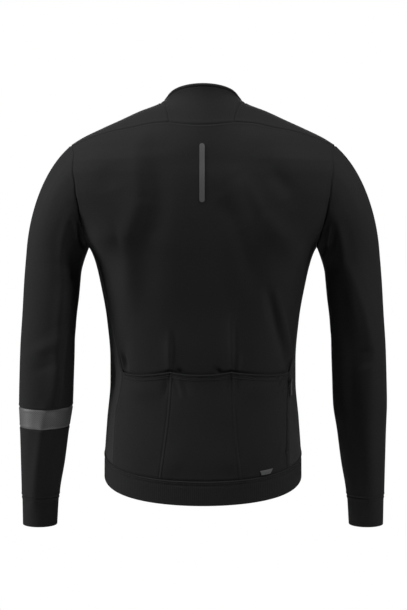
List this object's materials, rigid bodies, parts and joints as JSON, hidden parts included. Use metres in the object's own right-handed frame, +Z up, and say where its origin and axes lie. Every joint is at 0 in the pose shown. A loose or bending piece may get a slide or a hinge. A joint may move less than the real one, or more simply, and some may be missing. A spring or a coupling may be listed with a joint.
{
  "type": "cycling jersey",
  "caption": "Long-sleeved, close-fitting cycling jersey with a full front zip, stand collar, open back pockets, a zipped pocket edge and a reflective band on the left sleeve.",
  "frame": {"origin": "middle of the neck, level with the place where the collar meets the shoulders at the sides", "axes": "+Z up, -Y the way the wearer faces, +X the wearer's left"},
  "size_m": [0.6186, 0.2346, 0.7407],
  "materials": {
    "jersey_knit": "matt black brushed stretch knit",
    "pocket_knit": "matt black stretch knit",
    "elastic_band": "black ribbed elastic",
    "reflective_cloth": "grey cloth with fine reflective dots",
    "reflective_film": "satin grey reflective film",
    "zip_tape": "black zip tape with moulded coil",
    "zip_hardware": "black lacquered metal",
    "pull_tab": "dark grey moulded tab",
    "woven_tab": "plain grey woven tab"
  },
  "bodies": {
    "jersey": {"back": "jersey_knit", "front_left": "jersey_knit", "front_right": "jersey_knit", "side_left": "jersey_knit", "side_right": "jersey_knit", "collar": "jersey_knit", "collar_edge": "elastic_band", "hem_band": "elastic_band", "cuff_left": "jersey_knit", "cuff_right": "jersey_knit", "sleeve_left_upper": "jersey_knit", "sleeve_left_band": "reflective_cloth", "sleeve_left_lower": "jersey_knit", "sleeve_right": "jersey_knit", "pocket_left": "pocket_knit", "pocket_centre": "pocket_knit", "pocket_right": "pocket_knit", "front_zip": "zip_tape", "pocket_zip": "zip_tape", "front_zip_slider": "zip_hardware", "pocket_zip_slider": "zip_hardware", "reflective_strip": "reflective_film", "hem_tab": "woven_tab"},
    "front_zip_pull": {"front_zip_pull": "pull_tab"},
    "pocket_zip_pull": {"pocket_zip_pull": "pull_tab"}
  },
  "joints": [
    {"name": "front_pull_swing", "type": "hinge", "parent": "jersey", "child": "front_zip_pull", "pos_m": [0.00003, -0.07124, -0.02505], "axis": [-1, 0, 0], "range_deg": [0, 150]},
    {"name": "pocket_pull_swing", "type": "hinge", "parent": "jersey", "child": "pocket_zip_pull", "pos_m": [-0.14609, 0.05215, -0.46211], "axis": [0.5268, 0.85, 0], "range_deg": [0, 150]}
  ]
}
